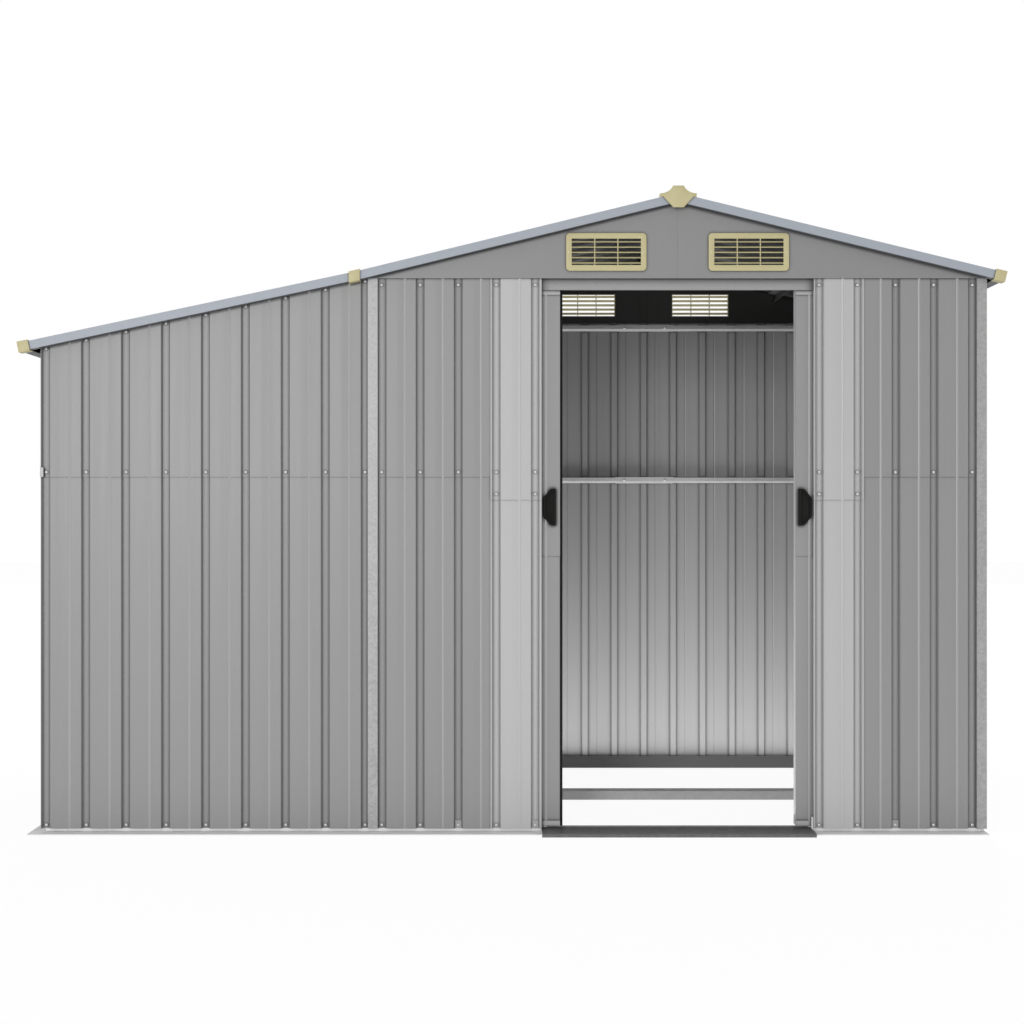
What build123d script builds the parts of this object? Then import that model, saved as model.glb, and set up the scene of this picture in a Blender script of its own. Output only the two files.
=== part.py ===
"""Metal storage shed with a lean-to bay, pressed ribbed sheets on a light folded-steel frame.

Millimetres. +X runs to the right seen from the doorway side, +Y from the front wall to the rear
wall, +Z up. The origin is on the ground in the middle of the whole shed. Each wall has a plane of
its own, with local x along the wall, local y from the outer face into the shed, and local z up.
"""

from build123d import *
import os
from math import atan, cos, degrees, sin

# Plan
left_panel = 530.0          # main bay's left edge to the doorway
doorway_width = 831.0
right_panel = 527.0         # doorway to the main bay's right edge
lean_width = 998.0          # lean-to bay, from its side wall to the main bay
depth = 966.0               # front wall to rear wall

# Heights above the ground
wall_foot = 12.0
wall_top = 1700.0
wall_seam = 1085.0          # lower edge of the upper wall sheets
light_seam = 1015.0         # the same on the two pale sheets beside the doorway
door_seam = 843.0
handle_centre = 993.0

# Roof
main_slope = 0.243          # fall for each unit of run
lean_slope = 0.212
roof_above_wall = 15.6      # verge trims' top over the top of the main bay's side walls
lean_wall_gap = 5.5         # lean-to side wall's top under its roof sheet
eave_reach = 48.5           # end of the eave trim outside the main bay
junction_reach = 38.0       # where the lean-to roof starts, outside the main bay
lean_eave_reach = 59.0      # end of the eave trim outside the lean-to
verge_reach = 27.0          # roof edge in front of the wall plane
trim_height = 26.0
trim_width = 25.0
trim_t = 1.5
cover_reach = 34.0          # ridge and junction cover strips, each side
roof_pitch = 116.0
roof_edge_rib = 40.0        # roof sheet's edge to its first rib
ridge_gap = 6.0             # roof sheets' top edge to the ridge line
junction_gap = 4.0          # the same where the lean-to roof starts
junction_trim_gap = 1.2

# Pressed sheets
sheet_t = 1.2
lap = 25.0                  # how far one sheet runs behind the next
seat = 0.2                  # gap between lapped sheets and between a sheet and its frame
end_gap = 0.5               # gap between a sheet's side edge and a post
rib_depth = 8.0
rib_mouth = 28.0            # width of a recessed rib at the face
rib_floor = 19.0            # width of its flat floor
crease_share = 0.37         # where the soft crease lies across a pan
crease_height = 0.5
bead_share = 0.63           # where the fine raised bead lies
bead_height = 1.0
bead_width = 7.0
wall_pitch = 116.0
lean_pitch = 121.0
post_rib = 13.0             # edge of a sheet beside a post to its first rib
corner_rib = 12.0           # the same at the lean-to's corners
lean_first_rib = 15.0       # lean-to's left edge to its first rib
lean_last_rib = 8.0         # its last rib to the main bay
left_jamb_rib_at = 19.0     # doorway's left edge to the pale sheet's two ribs
left_lap_rib_at = 138.0
right_jamb_rib_at = 17.0    # the same on its right
right_lap_rib_at = 134.0
pale_edge = 18.0            # pale sheet's edge past its lap rib

# Frame
post_t = 1.5
post_face = 30.0
post_proud = 1.6            # how far a post stands out past the wall plane
post_flange = 26.0
post_drop = 6.0             # posts' top under the walls' top
lean_post_drop = 8.0
angle_leg = 36.0            # legs of the angles in the lean-to's corners
jamb_leg = 34.0
frame_t = 1.5
girt_depth = 20.0
girt_lip = 13.0
girt_web = 20.0
girt_edge_in = 6.0          # slanted lower edge of a girt: how far it runs back and down
girt_edge_fall = 8.0
girt_below_lap = 1.0        # middle girts' top under the lower sheets' top
girt_below_top = 12.0       # top girts' top under the wall's top
post_clearance = 6.0        # end of a girt or the header to the junction post
girt_clearance = 2.0        # end of a rear girt or the header to the side girt
beam_clearance = 4.0        # the junction beam to what is beside and over it
beam_drop = 8.0             # junction beam's top under the walls' top, at least
connector_length = 222.0
connector_in = 6.0          # connector's rear edge in front of the rail line
beam_width = 40.0
beam_height = 30.0
purlin_width = 30.0
clip_height = 24.0
corner_clip_height = 29.0
corner_clip_width = 9.0
corner_clip_depth = 9.0

# Base
base_flange = 30.5
base_t = 3.0
base_upstand = 45.0
sill_reach = 58.0
sill_height = 10.5
sill_bevel = 2.0
sill_inset = 5.0            # sill ends inside the doorway's right edge
cross_rail_from_front = 430.0
cross_rail_width = 44.5
cross_rail_height = 29.4

# Doors and their track
door_overlap = 29.0         # both doors' sheets together, over the doorway's width
door_depth = 28.0
door_foot = 16.0
door_rise = 3.0             # doors' top over the header's foot
door_rib_pitch = 116.0
door_rib_count = 3
door_cap_height = 16.0
left_door_shows = 57.0      # sheet width that shows when the doors stand open
right_door_shows = 51.0
seal_width = 8.0
seal_front = -1.0           # seal's front and back faces behind the door's face
seal_back = 15.0
seal_crown = 3.0            # how far its round edge bulges
stile_width = 30.0
run_gap = 5.0               # air between the doors and what they pass
slide_gap = 0.3             # gap at the glides, where the doors are carried
header_drop = 3.0           # header's top under the wall's top
header_height = 40.0
track_rise = 13.0           # C track's lips over the header's foot
track_slot = 20.0
hanger_plate = 3.0
hanger_length = 40.0
hanger_height = 12.0
hanger_inset = 60.0
hanger_reach = 7.0          # hanger's head past each lip of the track
head_sink = 1.0             # how far the plate runs up into the head
shoe_gap = 2.0              # under the guide shoe
floor_track_width = 21.0
floor_track_height = 10.5

# Handles
handle_width = 39.0
handle_height = 113.0
handle_depth = 13.0
handle_flat = 16.0          # level part of its top and bottom edges
handle_cut = 27.0           # height of the cut corners towards the jamb
handle_round = 10.0
handle_chamfer = 3.0
handle_rim = 7.0            # width of the rim round the finger well
handle_floor = 4.0          # thickness behind the well

# Vents
vent_width = 245.0
vent_height = 115.0
vent_border = 17.0
vent_offset = 217.0         # vent centre to the ridge line
vent_rise = 80.0            # vent centre over the gable's lower edge
vent_t = 4.0
vent_corner = 12.0
vent_chamfer = 1.33
vent_hole_margin = 3.0      # hole in the gable past the vent's opening
slat_count = 5
slat_pitch = 16.1
slat_t = 2.0
slat_depth = 12.8
slat_tilt = 0.40            # radians, outer edge down
divider_t = 3.0
gable_drop = 10.0           # gable's lower edge under the wall's top
gable_lap = 12.0            # flange of the left gable half behind the right one, and behind itself

# Moulded roof caps
cap_t = 2.8
cap_rise = 4.0              # how far a corner cap stands above and below the trim
cap_length = 34.0
cap_air = 0.4               # gap between the ridge and junction caps and the trims
ridge_cap_half = 55.5
ridge_cap_top = 21.5        # top flat above the trim apex
ridge_cap_height = 66.0
ridge_cap_flat = 16.0       # half width of its top and bottom flats
ridge_cap_tip = -1.5        # height of its side tips over the trim apex
shoulder_out = 10.0         # hollow shoulder's middle, out from the top flat and down from it
shoulder_down = 13.0

# Main sizes worked out from the ones above
main_width = left_panel + doorway_width + right_panel
half_main = main_width / 2
main_run = half_main + eave_reach
junction_run = half_main + junction_reach
lean_run = lean_width - junction_reach + lean_eave_reach
ridge_height = wall_top + roof_above_wall + main_slope * half_main
gable_foot = wall_top - gable_drop
vent_centre = gable_foot + vent_rise
mid_girt_top = wall_seam + lap - girt_below_lap
top_girt_top = wall_top - girt_below_top
header_foot = wall_top - header_drop - header_height
track_lip_height = header_foot + track_rise
door_top = header_foot + door_rise
door_sheet_width = (doorway_width + door_overlap) / 2
half_depth = depth / 2
strip_half = rib_floor / 2

# Slopes and depths
main_angle = atan(main_slope)
lean_angle = atan(lean_slope)
main_length = main_run / cos(main_angle)
lean_length = lean_run / cos(lean_angle)
junction_length = junction_run / cos(main_angle)
junction_height = ridge_height - main_slope * junction_run

lift = sheet_t + seat
frame_face = rib_depth + sheet_t + seat
rail_face = frame_face + post_t + seat
cap_proud = lift + bead_height + seat + sheet_t
door_face = rail_face + frame_t + run_gap + cap_proud
door_middle = door_face + door_depth / 2
roof_under = trim_t + seat + rib_depth + sheet_t + seat
verge_cap_reach = verge_reach + seat + cap_t

# Places in plan, with the whole shed centred on the origin
right_extent = half_main + main_run + (seat + cap_t) * cos(main_angle) + cap_rise * sin(main_angle)
left_extent = junction_reach + lean_run
left_extent += (seat + cap_t) * cos(lean_angle) + cap_rise * sin(lean_angle)
junction_x = (left_extent - right_extent) / 2
left_x = junction_x - lean_width
right_x = junction_x + main_width
ridge_x = junction_x + half_main
doorway_left = junction_x + left_panel
doorway_right = doorway_left + doorway_width

front_reach = max(sill_reach, base_flange, verge_cap_reach)
rear_reach = max(base_flange, verge_cap_reach)
front_y = (front_reach - depth - rear_reach) / 2
rear_y = front_y + depth
middle_y = (front_y + rear_y) / 2
front_gable_back = front_y - 2 * lift - bead_height - seat
rear_gable_back = rear_y + lift + bead_height + seat
gable_proud = front_y - front_gable_back + sheet_t

front_wall = Plane(origin=(0, front_y, 0), x_dir=(1, 0, 0), z_dir=(0, 0, 1))
rear_wall = Plane(origin=(0, rear_y, 0), x_dir=(-1, 0, 0), z_dir=(0, 0, 1))
left_wall = Plane(origin=(left_x, middle_y, 0), x_dir=(0, -1, 0), z_dir=(0, 0, 1))
right_wall = Plane(origin=(right_x - post_proud, middle_y, 0), x_dir=(0, 1, 0), z_dir=(0, 0, 1))

# Roof planes: local x along the shed, local y down through the roof, local z down the slope
right_roof = Plane(
    origin=(ridge_x, middle_y, ridge_height),
    x_dir=(0, -1, 0),
    z_dir=(cos(main_angle), 0, -sin(main_angle)),
)
left_roof = Plane(
    origin=(ridge_x, middle_y, ridge_height),
    x_dir=(0, 1, 0),
    z_dir=(-cos(main_angle), 0, -sin(main_angle)),
)
lean_roof = Plane(
    origin=(ridge_x - junction_run, middle_y, junction_height),
    x_dir=(0, 1, 0),
    z_dir=(-cos(lean_angle), 0, -sin(lean_angle)),
)


def main_roof_line(x):
    """Height of the verge trims' top over the main bay."""
    return ridge_height - main_slope * abs(x - ridge_x)


def under_main_roof(x):
    """Height of the main roof sheets' underside."""
    return main_roof_line(x) - roof_under / cos(main_angle)


def under_lean_roof(x):
    """Height of the lean-to roof sheet's underside."""
    fall = lean_slope * (ridge_x - junction_run - x)
    return junction_height - fall - roof_under / cos(lean_angle)


lean_wall_top = under_lean_roof(left_x) - lean_wall_gap
ridge_beam_top = under_main_roof(ridge_x + beam_width / 2) - seat


def save(name, *solids):
    """Write one node, from one solid or from several that don't touch."""
    piece = solids[0] if len(solids) == 1 else Compound(children=list(solids))
    piece.label = name
    export_step(piece, f"parts/{name}.step")


def spread(first, last, pitch):
    """Rib centres from first to last, as near to the pitch as a whole number of pans allows."""
    pans = max(1, round((last - first) / pitch))
    return [first + (last - first) * index / pans for index in range(pans + 1)]


def bead_points(centre):
    """One fine raised bead on a pan."""
    return [(centre - bead_width / 2, 0), (centre, -bead_height), (centre + bead_width / 2, 0)]


def face_line(start, end, ribs, beaded, edge_beads):
    """Outer face of a pressed sheet: pans with a soft crease and a bead, between recessed ribs."""
    mouth, floor = rib_mouth / 2, rib_floor / 2
    line = []
    if start < ribs[0] - mouth:
        line += [(start, 0)]
        if edge_beads:
            line += bead_points((start + ribs[0] - mouth) / 2)
        line += [(ribs[0] - mouth, 0), (ribs[0] - floor, rib_depth)]
    else:
        line += [(start, rib_depth)]
    for here, after in zip(ribs, ribs[1:]):
        pan_start = here + mouth
        pan = after - mouth - pan_start
        line += [(here + floor, rib_depth), (pan_start, 0)]
        if beaded:
            line += [(pan_start + pan * crease_share, -crease_height)]
            line += bead_points(pan_start + pan * bead_share)
        line += [(after - mouth, 0), (after - floor, rib_depth)]
    if end > ribs[-1] + mouth:
        line += [(ribs[-1] + floor, rib_depth), (ribs[-1] + mouth, 0)]
        if edge_beads:
            line += bead_points((ribs[-1] + mouth + end) / 2)
        line += [(end, 0)]
    else:
        line += [(end, rib_depth)]
    return line


def pressed_sheet(plane, start, end, ribs, foot, top, raised=0.0, beaded=True, edge_beads=False):
    """One ribbed sheet on a wall or roof plane, raised over the sheet that it laps."""
    face = face_line(start, end, ribs, beaded, edge_beads)
    outer = [(along, inward - raised) for along, inward in face]
    inner = [(along, inward + sheet_t) for along, inward in reversed(outer)]
    with BuildPart() as sheet:
        with BuildSketch(plane.offset(foot)):
            with BuildLine():
                Polyline(*outer, *inner, close=True)
            make_face()
        extrude(amount=top - foot)
    return sheet.part


def section_plane(plane, start):
    """Plane across a wall or roof member: local x into the shed, local y up."""
    origin = plane.from_local_coords(Vector(start, 0, 0))
    return Plane(origin=origin, x_dir=plane.y_dir, z_dir=plane.x_dir)


def both_faces(points, thickness):
    """Outline of a folded sheet: its line, and the same line shifted to its left by the thickness."""
    line = [Vector(*point) for point in points]
    runs = [(after - before).normalized() for before, after in zip(line, line[1:])]
    sides = [Vector(-run.Y, run.X) for run in runs]
    shifted = [line[0] + sides[0] * thickness]
    for corner, before, after in zip(line[1:], sides, sides[1:]):
        shifted.append(corner + (before + after) * (thickness / (1 + before.dot(after))))
    shifted.append(line[-1] + sides[-1] * thickness)
    return line + shifted[::-1]


def folded(plane, points, length, thickness):
    """A strip of sheet folded along the points; a negative thickness lies to their right."""
    with BuildPart() as strip:
        with BuildSketch(plane):
            with BuildLine():
                Polyline(*both_faces(points, thickness), close=True)
            make_face()
        extrude(amount=length)
    return strip.part


os.makedirs("parts", exist_ok=True)

# Base rails: a flange on the ground outside the wall and an upstand inside it
upstand_back = rail_face + frame_t
outward_rail = [
    (-base_flange, 0),
    (upstand_back, 0),
    (upstand_back, base_upstand),
    (rail_face, base_upstand),
    (rail_face, base_t),
    (-base_flange, base_t),
]
inward_rail = [
    (rail_face, 0),
    (rail_face + base_flange, 0),
    (rail_face + base_flange, base_t),
    (upstand_back, base_t),
    (upstand_back, base_upstand),
    (rail_face, base_upstand),
]


def base_rail(wall, start, end, outline, mitre=None):
    """One length of base rail, cut at 45 degrees where a mitre plane is given."""
    with BuildPart() as rail:
        with BuildSketch(section_plane(wall, start)):
            with BuildLine():
                Polyline(*outline, close=True)
            make_face()
        extrude(amount=end - start)
        if mitre:
            split(bisect_by=mitre, keep=Keep.TOP)
    return rail.part


front_corner = (left_x, front_y, 0)
rear_corner = (left_x, rear_y, 0)
front_end = right_x - post_proud - post_t - seat
sill_left = doorway_left
sill_right = doorway_right - sill_inset
side_rail_end = half_depth - upstand_back - seat

rail = base_rail(
    front_wall, left_x - base_flange, sill_left, outward_rail, Plane(front_corner, z_dir=(1, -1, 0))
)
save("base_rail_front_left", rail)
save("base_rail_front_right", base_rail(front_wall, sill_right, front_end, outward_rail))
rail = base_rail(
    rear_wall, -front_end, base_flange - left_x, outward_rail, Plane(rear_corner, z_dir=(1, 1, 0))
)
save("base_rail_rear", rail)
reach = half_depth + base_flange
rail = base_rail(left_wall, -reach, reach, outward_rail, Plane(front_corner, z_dir=(-1, 1, 0)))
with BuildPart() as left_rail:
    add(rail)
    split(bisect_by=Plane(rear_corner, z_dir=(-1, -1, 0)), keep=Keep.TOP)
save("base_rail_left", left_rail.part)
save("base_rail_right", base_rail(right_wall, -side_rail_end, side_rail_end, inward_rail))

# Door sill: a low plate with a folded nose in front of the floor track
track_front = door_middle - floor_track_width / 2
track_back = door_middle + floor_track_width / 2
nose = [
    (-sill_reach, 0),
    (-sill_reach, sill_height - sill_bevel),
    (-sill_reach + sill_bevel, sill_height),
    (track_front - seat, sill_height),
    (track_front - seat, 0),
]
sill_length = sill_right - sill_left - 2 * seat
sill = folded(
    section_plane(front_wall, sill_left + seat), nose, sill_length, -frame_t
)
save("door_sill", sill)

# Floor track: a shallow channel behind the front wall that guides the doors
track_start = junction_x + post_face + post_flange
track_end = right_x - post_proud - rail_face - base_flange - seat
channel = [
    (track_front, floor_track_height),
    (track_front, 0),
    (track_back, 0),
    (track_back, floor_track_height),
]
track = folded(
    section_plane(front_wall, track_start), channel, track_end - track_start, frame_t
)
save("floor_track", track)

# Cross rail on the floor, from one side rail to the other
rail_front = cross_rail_from_front
rail_back = cross_rail_from_front + cross_rail_width
cross_start = left_x + upstand_back + seat
cross_end = right_x - post_proud - rail_face - base_flange - seat
cross = [
    (rail_front, 0),
    (rail_front, cross_rail_height),
    (rail_back, cross_rail_height),
    (rail_back, 0),
]
cross_rail = folded(
    section_plane(front_wall, cross_start), cross, cross_end - cross_start, -frame_t
)
save("floor_cross_rail", cross_rail)

# Corner posts of the main bay: folded round the corner, with a flange behind each wall
post_height = wall_top - post_drop - wall_foot
lean_post_height = lean_wall_top - lean_post_drop - wall_foot
mid_plane = Plane.XZ.offset(-middle_y)
flange_end = post_face + post_flange
inner = frame_face + post_proud
corner_outline = [
    (-flange_end, frame_face),
    (-post_face, frame_face),
    (-post_face, -post_proud),
    (0, -post_proud),
    (0, post_face),
    (-inner, post_face),
    (-inner, flange_end),
]
corner = Plane(origin=(right_x, front_y, wall_foot), x_dir=(1, 0, 0), z_dir=(0, 0, 1))
front_post = folded(corner, corner_outline, post_height, post_t)
rear_post = mirror(front_post, about=mid_plane)

# Junction posts: a hat section between the two bays
hat = [
    (junction_x - post_flange, frame_face),
    (junction_x, frame_face),
    (junction_x, -post_proud),
    (junction_x + post_face, -post_proud),
    (junction_x + post_face, frame_face),
    (junction_x + flange_end, frame_face),
]
junction_post = folded(front_wall.offset(wall_foot), hat, post_height, post_t)
save("junction_posts", junction_post, mirror(junction_post, about=mid_plane))

# Left corner angles, inside the lean-to
angle_reach = frame_face + angle_leg
left_angle = [(angle_reach, frame_face), (frame_face, frame_face), (frame_face, angle_reach)]
left_corner = Plane(origin=(left_x, front_y, wall_foot), x_dir=(1, 0, 0), z_dir=(0, 0, 1))
left_post = folded(left_corner, left_angle, lean_post_height, -post_t)
save("corner_posts", front_post, rear_post, left_post, mirror(left_post, about=mid_plane))

# Wall sheets in two heights, the upper one lapping over the lower one
def wall_bay(wall, start, end, ribs, seam, top, lift_by=0.0):
    """Lower and upper sheet of one stretch of wall."""
    lower = pressed_sheet(wall, start, end, ribs, wall_foot, seam + lap, lift_by)
    upper = pressed_sheet(wall, start, end, ribs, seam, top, lift_by + lift)
    return lower, upper


def cut_under_lean(sheet):
    """Trim a sheet's top to the slope of the lean-to roof."""
    top = Plane(origin=(left_x, 0, under_lean_roof(left_x)), z_dir=(-lean_slope, 0, 1))
    with BuildPart() as trimmed:
        add(sheet)
        split(bisect_by=top, keep=Keep.BOTTOM)
    return trimmed.part


lean_start = left_x
lean_end = junction_x - end_gap
lean_ribs = spread(left_x + lean_first_rib, junction_x - lean_last_rib, lean_pitch)
lean_tall = under_lean_roof(lean_end) + 2 * rib_depth
lower, upper = wall_bay(front_wall, lean_start, lean_end, lean_ribs, wall_seam, lean_tall)
save("front_lean_lower", lower)
save("front_lean_upper", cut_under_lean(upper))
rear_lean_ribs = [-rib for rib in reversed(lean_ribs)]
lower, upper = wall_bay(rear_wall, -lean_end, -lean_start, rear_lean_ribs, wall_seam, lean_tall)
save("rear_lean_lower", lower)
save("rear_lean_upper", cut_under_lean(upper))

main_start = junction_x + post_face + end_gap
main_end = right_x - post_face - end_gap
left_lap_rib = doorway_left - left_lap_rib_at
left_jamb_rib = doorway_left - left_jamb_rib_at
right_jamb_rib = doorway_right + right_jamb_rib_at
right_lap_rib = doorway_right + right_lap_rib_at
grey_left = spread(main_start + post_rib, left_lap_rib, wall_pitch)
grey_right = spread(right_lap_rib, main_end - post_rib, wall_pitch)
left_grey = wall_bay(
    front_wall, main_start, left_lap_rib + strip_half, grey_left, wall_seam, wall_top
)
right_grey = wall_bay(
    front_wall, right_lap_rib - strip_half, main_end, grey_right, wall_seam, wall_top
)
left_pale = wall_bay(
    front_wall,
    left_lap_rib - pale_edge,
    doorway_left,
    [left_lap_rib, left_jamb_rib],
    light_seam,
    wall_top,
    lift,
)
right_pale = wall_bay(
    front_wall,
    doorway_right,
    right_lap_rib + pale_edge,
    [right_jamb_rib, right_lap_rib],
    light_seam,
    wall_top,
    lift,
)
rear_main_ribs = spread(-main_end + post_rib, -main_start - post_rib, wall_pitch)
rear_main = wall_bay(rear_wall, -main_end, -main_start, rear_main_ribs, wall_seam, wall_top)

left_half = half_depth - rib_depth - sheet_t - end_gap
left_ribs = spread(-left_half + corner_rib, left_half - corner_rib, wall_pitch)
left_side = wall_bay(left_wall, -left_half, left_half, left_ribs, wall_seam, lean_wall_top)
right_half = half_depth - post_face - end_gap
right_ribs = spread(-right_half + post_rib, right_half - post_rib, wall_pitch)
right_side = wall_bay(right_wall, -right_half, right_half, right_ribs, wall_seam, wall_top)

for level, height in enumerate(("lower", "upper")):
    save(f"front_left_{height}", left_grey[level])
    save(f"front_right_{height}", right_grey[level])
    save(f"door_side_{height}", left_pale[level], right_pale[level])
    save(f"rear_main_{height}", rear_main[level])
save("left_side_wall", *left_side)
save("right_side_wall", *right_side)

# Doorway jambs: an angle behind each pale sheet's edge
jamb_back = frame_face + post_t
jamb_front = sheet_t + seat - lift
left_jamb = [
    (doorway_left - jamb_leg, jamb_back),
    (doorway_left, jamb_back),
    (doorway_left, jamb_front),
]
right_jamb = [
    (doorway_right + jamb_leg, jamb_back),
    (doorway_right, jamb_back),
    (doorway_right, jamb_front),
]
jamb_foot = front_wall.offset(wall_foot)
save(
    "door_jambs",
    folded(jamb_foot, left_jamb, post_height, -post_t),
    folded(jamb_foot, right_jamb, post_height, post_t),
)

# Door header: its face closes the top of the doorway, and its C track carries the hangers
track_inner = 2 * door_middle - rail_face
header_start = junction_x + post_face + post_clearance
header_end = right_x - post_proud - rail_face - girt_depth - seat - girt_clearance
header_outline = [
    (door_middle - track_slot / 2, track_lip_height),
    (rail_face, track_lip_height),
    (rail_face, header_foot + header_height),
    (track_inner, header_foot + header_height),
    (track_inner, track_lip_height),
    (door_middle + track_slot / 2, track_lip_height),
]
with BuildPart() as header:
    with BuildSketch(section_plane(front_wall, header_start)):
        with BuildLine():
            Polyline(*both_faces(header_outline, -frame_t), close=True)
        make_face()
        with Locations(((2 * rail_face + frame_t) / 2, (header_foot + track_lip_height) / 2)):
            Rectangle(frame_t, track_lip_height - header_foot)
    extrude(amount=header_end - header_start)
save("door_header", header.part)

# Girts: a top flange, a front lip and a slanted edge, open at the back
girt_outline = [
    (rail_face, -girt_web),
    (rail_face, 0),
    (rail_face + girt_depth, 0),
    (rail_face + girt_depth, -girt_lip),
    (rail_face + girt_depth - girt_edge_in, -girt_lip - girt_edge_fall),
]


def girt(wall, start, end, top):
    """One girt along a wall, with its top at the given height."""
    plane = section_plane(wall.offset(top), start)
    return folded(plane, girt_outline, end - start, -frame_t)


rear_start = -(right_x - post_proud - rail_face - girt_depth) + girt_clearance
rear_end = -(junction_x + post_face + post_clearance)
rear_middle = -ridge_x
halves = []
for top in (mid_girt_top, top_girt_top):
    halves.append(girt(rear_wall, rear_start, rear_middle - seat, top))
    halves.append(girt(rear_wall, rear_middle + seat, rear_end, top))
save("rear_girts", *halves)

# Connector plates, lapped over the joint in each rear girt
front_of_girt = rail_face + girt_depth + seat
plate_outline = [
    (rail_face + connector_in, seat),
    (front_of_girt, seat),
    (front_of_girt, -girt_lip - seat),
    (front_of_girt - girt_edge_in, -girt_lip - seat - girt_edge_fall),
]
plates = []
for top in (mid_girt_top, top_girt_top):
    plane = section_plane(rear_wall.offset(top), rear_middle - connector_length / 2)
    plates.append(folded(plane, plate_outline, connector_length, frame_t))
save("girt_connectors", *plates)

side_reach = half_depth - rail_face - seat
right_mid = girt(right_wall, -side_reach, side_reach, mid_girt_top)
right_top = girt(right_wall, -side_reach, side_reach, top_girt_top)
left_mid = girt(left_wall, -side_reach, side_reach, mid_girt_top)
left_top = girt(left_wall, -side_reach, side_reach, lean_wall_top - girt_below_top)

lean_girt_start = left_x + rail_face + girt_depth + seat
lean_girt_end = junction_x - beam_clearance
front_mid = girt(front_wall, lean_girt_start, lean_girt_end, mid_girt_top)
rear_mid = girt(rear_wall, -lean_girt_end, -lean_girt_start, mid_girt_top)
save("side_girts", right_mid, right_top, left_mid, left_top, front_mid, rear_mid)

# Junction beam over the opening between the two bays
beam_y = half_depth - rail_face - seat
beam_top = min(wall_top - beam_drop, under_lean_roof(junction_x) - beam_clearance)
beam_plane = Plane(origin=(junction_x, middle_y - beam_y, beam_top), x_dir=(1, 0, 0), z_dir=(0, 1, 0))
beam_outline = [(0, beam_height), (0, 0), (post_face, 0), (post_face, beam_height)]
junction_beam = folded(beam_plane, beam_outline, 2 * beam_y, frame_t)


# Gables: flat sheets over the walls, in two halves that meet under the ridge
vent_hole_width = vent_width - 2 * (vent_border - vent_hole_margin)
vent_hole_height = vent_height - 2 * (vent_border - vent_hole_margin)


def gable_half(face_y, outward, side):
    """Half a gable, side -1 left of the ridge and +1 right of it, with its vent hole.

    The left half has a set-back flange that runs behind the right half and closes the joint.
    """
    edge_x = junction_x if side < 0 else right_x
    plane = Plane(origin=(0, face_y, 0), x_dir=(outward * -1, 0, 0), z_dir=(0, outward, 0))
    flip = -outward
    corners = [
        (flip * (ridge_x + side * seat / 2), gable_foot),
        (flip * edge_x, gable_foot),
        (flip * edge_x, under_main_roof(edge_x)),
        (flip * (ridge_x + side * seat / 2), under_main_roof(ridge_x)),
    ]
    with BuildPart() as half:
        with BuildSketch(plane):
            with BuildLine():
                Polyline(*corners, close=True)
            make_face()
            with Locations((flip * (ridge_x + side * vent_offset), vent_centre)):
                Rectangle(vent_hole_width, vent_hole_height, mode=Mode.SUBTRACT)
        extrude(amount=sheet_t)
        if side < 0:
            flange_foot = Plane(
                origin=(ridge_x, face_y, wall_top + seat), x_dir=(1, 0, 0), z_dir=(0, 0, 1)
            )
            inward = -outward
            flange = [
                (-gable_lap, 0),
                (-seat / 2, 0),
                (-seat / 2, inward * seat),
                (gable_lap, inward * seat),
                (gable_lap, inward * lift),
                (-gable_lap, inward * lift),
            ]
            with BuildSketch(flange_foot):
                with BuildLine():
                    Polyline(*flange, close=True)
                make_face()
            extrude(amount=ridge_beam_top - beam_height - 2 * seat - wall_top)
    return half.part


for name, back, outward in (("front", front_gable_back, -1), ("rear", rear_gable_back, 1)):
    save(f"{name}_gable", gable_half(back, outward, -1), gable_half(back, outward, 1))


def vent(face_y, outward, side):
    """Louvred vent: a rounded frame, slanted slats and two dividers behind them."""
    centre = (ridge_x + side * vent_offset, face_y, vent_centre)
    face = Plane(origin=centre, x_dir=(outward * -1, 0, 0), z_dir=(0, outward, 0))
    open_width = vent_width - 2 * vent_border
    open_height = vent_height - 2 * vent_border
    slat_centre = vent_t - (slat_depth * cos(slat_tilt) + slat_t * sin(slat_tilt)) / 2
    with BuildPart() as grille:
        with BuildSketch(face):
            RectangleRounded(vent_width, vent_height, vent_corner)
            Rectangle(open_width, open_height, mode=Mode.SUBTRACT)
        extrude(amount=vent_t)
        rim = grille.faces().sort_by(Axis.Y)[0 if outward < 0 else -1]
        chamfer(rim.outer_wire().edges(), length=vent_chamfer)
        side_plane = Plane(
            origin=face.from_local_coords(Vector(-open_width / 2, 0, slat_centre)),
            x_dir=face.z_dir,
            z_dir=face.x_dir,
        )
        with BuildSketch(side_plane):
            with GridLocations(0, slat_pitch, 1, slat_count):
                Rectangle(slat_depth, slat_t, rotation=degrees(slat_tilt))
        extrude(amount=open_width)
        with BuildSketch(face.offset(-divider_t)):
            with GridLocations(open_width / 3, 0, 2, 1):
                Rectangle(divider_t, open_height)
        extrude(amount=divider_t + vent_t / 2)
    return grille.part


front_vent_face = front_gable_back - sheet_t - seat
rear_vent_face = rear_gable_back + sheet_t + seat
save(
    "gable_vents",
    *(vent(front_vent_face, -1, side) for side in (-1, 1)),
    *(vent(rear_vent_face, 1, side) for side in (-1, 1)),
)

# Roof sheets, ribs running down the slope
roof_half = half_depth + verge_reach - trim_t - seat
roof_ribs = spread(-roof_half + roof_edge_rib, roof_half - roof_edge_rib, roof_pitch)
under_trim = trim_t + seat
roof_sheets = (
    ("roof_main_right", right_roof, ridge_gap, main_length - under_trim),
    ("roof_main_left", left_roof, ridge_gap, junction_length - junction_gap),
    ("roof_lean", lean_roof, junction_gap, lean_length - under_trim),
)
for name, roof, start, end in roof_sheets:
    sheet = pressed_sheet(roof, -roof_half, roof_half, roof_ribs, start, end, -under_trim, beaded=False)
    save(name, sheet)

# Verge trims: channels that grip the roof sheets' front and rear edges
verge = half_depth + verge_reach


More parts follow.
